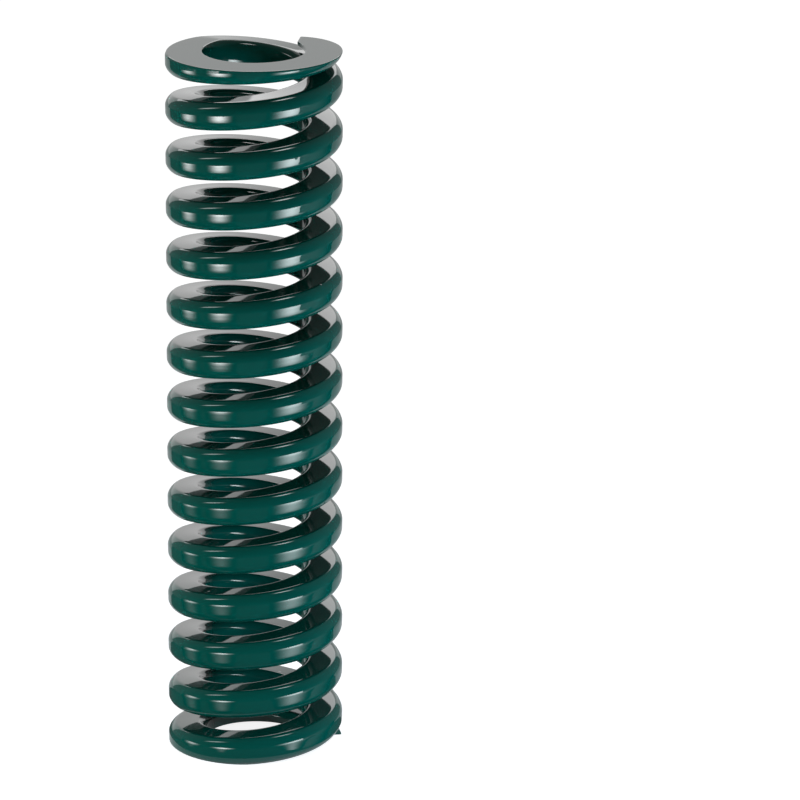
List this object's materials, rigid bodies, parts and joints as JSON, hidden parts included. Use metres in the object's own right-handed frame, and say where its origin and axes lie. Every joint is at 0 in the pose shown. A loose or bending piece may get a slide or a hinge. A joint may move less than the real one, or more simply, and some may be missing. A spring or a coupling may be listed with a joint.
{
  "type": "die spring",
  "caption": "Long green die spring of shaped wire with closed, ground ends, which stands in a round pocket over a guide rod and pushes two plates apart.",
  "frame": {"origin": "centre of the lower ground face, on the axis of the coil", "axes": "+Z along the axis of the coil, from the lower seat to the upper seat; +X through the lower tip of the wire"},
  "size_m": [0.031, 0.031, 0.127],
  "materials": {
    "green_enamel": "gloss"
  },
  "bodies": {
    "root": {"coil": "green_enamel"}
  },
  "joints": []
}
